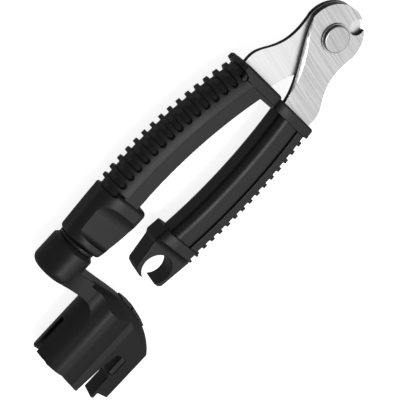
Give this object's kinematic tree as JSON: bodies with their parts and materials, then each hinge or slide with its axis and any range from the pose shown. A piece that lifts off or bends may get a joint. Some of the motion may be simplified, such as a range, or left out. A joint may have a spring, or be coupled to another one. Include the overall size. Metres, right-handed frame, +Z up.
{
  "type": "string winder",
  "caption": "Hand-held string winder with a cranked peg cup on a curved handle, and a lever handle that works a plier-style string cutter and carries a bridge pin puller.",
  "frame": {"origin": "on the table under the middle of the whole object's box, handles closed and the crank's cup lying flat in line with them", "axes": "+X along the crank's axle from the crank towards the cutter's tip, +Y towards the ribbed back of the main handle, +Z up out of the table through the cutter plates"},
  "size_m": [0.1808, 0.0696, 0.0201],
  "materials": {
    "black_plastic": "satin moulded, fine sparks texture",
    "black_plastic_inner": "satin moulded, a little smoother",
    "blade_steel": "ground with fine lines across the plate",
    "rivet_steel": "turned and lightly brushed",
    "inner_steel": "plain"
  },
  "bodies": {
    "main": {"main_handle_body": "black_plastic", "main_handle_core": "black_plastic_inner", "main_blade": "blade_steel", "main_tang_pin_a": "inner_steel", "main_tang_pin_b": "inner_steel", "crank_axle": "inner_steel", "axle_retaining_ring": "inner_steel", "axle_washer": "inner_steel", "neck_washer": "black_plastic", "pivot_rivet": "rivet_steel", "pivot_washer_front": "rivet_steel", "pivot_washer_rear": "rivet_steel"},
    "crank": {"crank": "black_plastic", "hub_plug": "black_plastic"},
    "lever": {"lever_handle_body": "black_plastic", "lever_handle_core": "black_plastic_inner", "lever_blade": "blade_steel", "lever_tang_pin_a": "inner_steel", "lever_tang_pin_b": "inner_steel"}
  },
  "joints": [
    {"name": "crank_spin", "type": "hinge", "parent": "main", "child": "crank", "pos_m": [-0.0434, 0.02467, 0.01004], "axis": [1, 0, 0], "continuous": true},
    {"name": "lever_pivot", "type": "hinge", "parent": "main", "child": "lever", "pos_m": [0.0776, 0.00337, 0.01004], "axis": [0, 0, 1], "range_deg": [0, 38]}
  ]
}
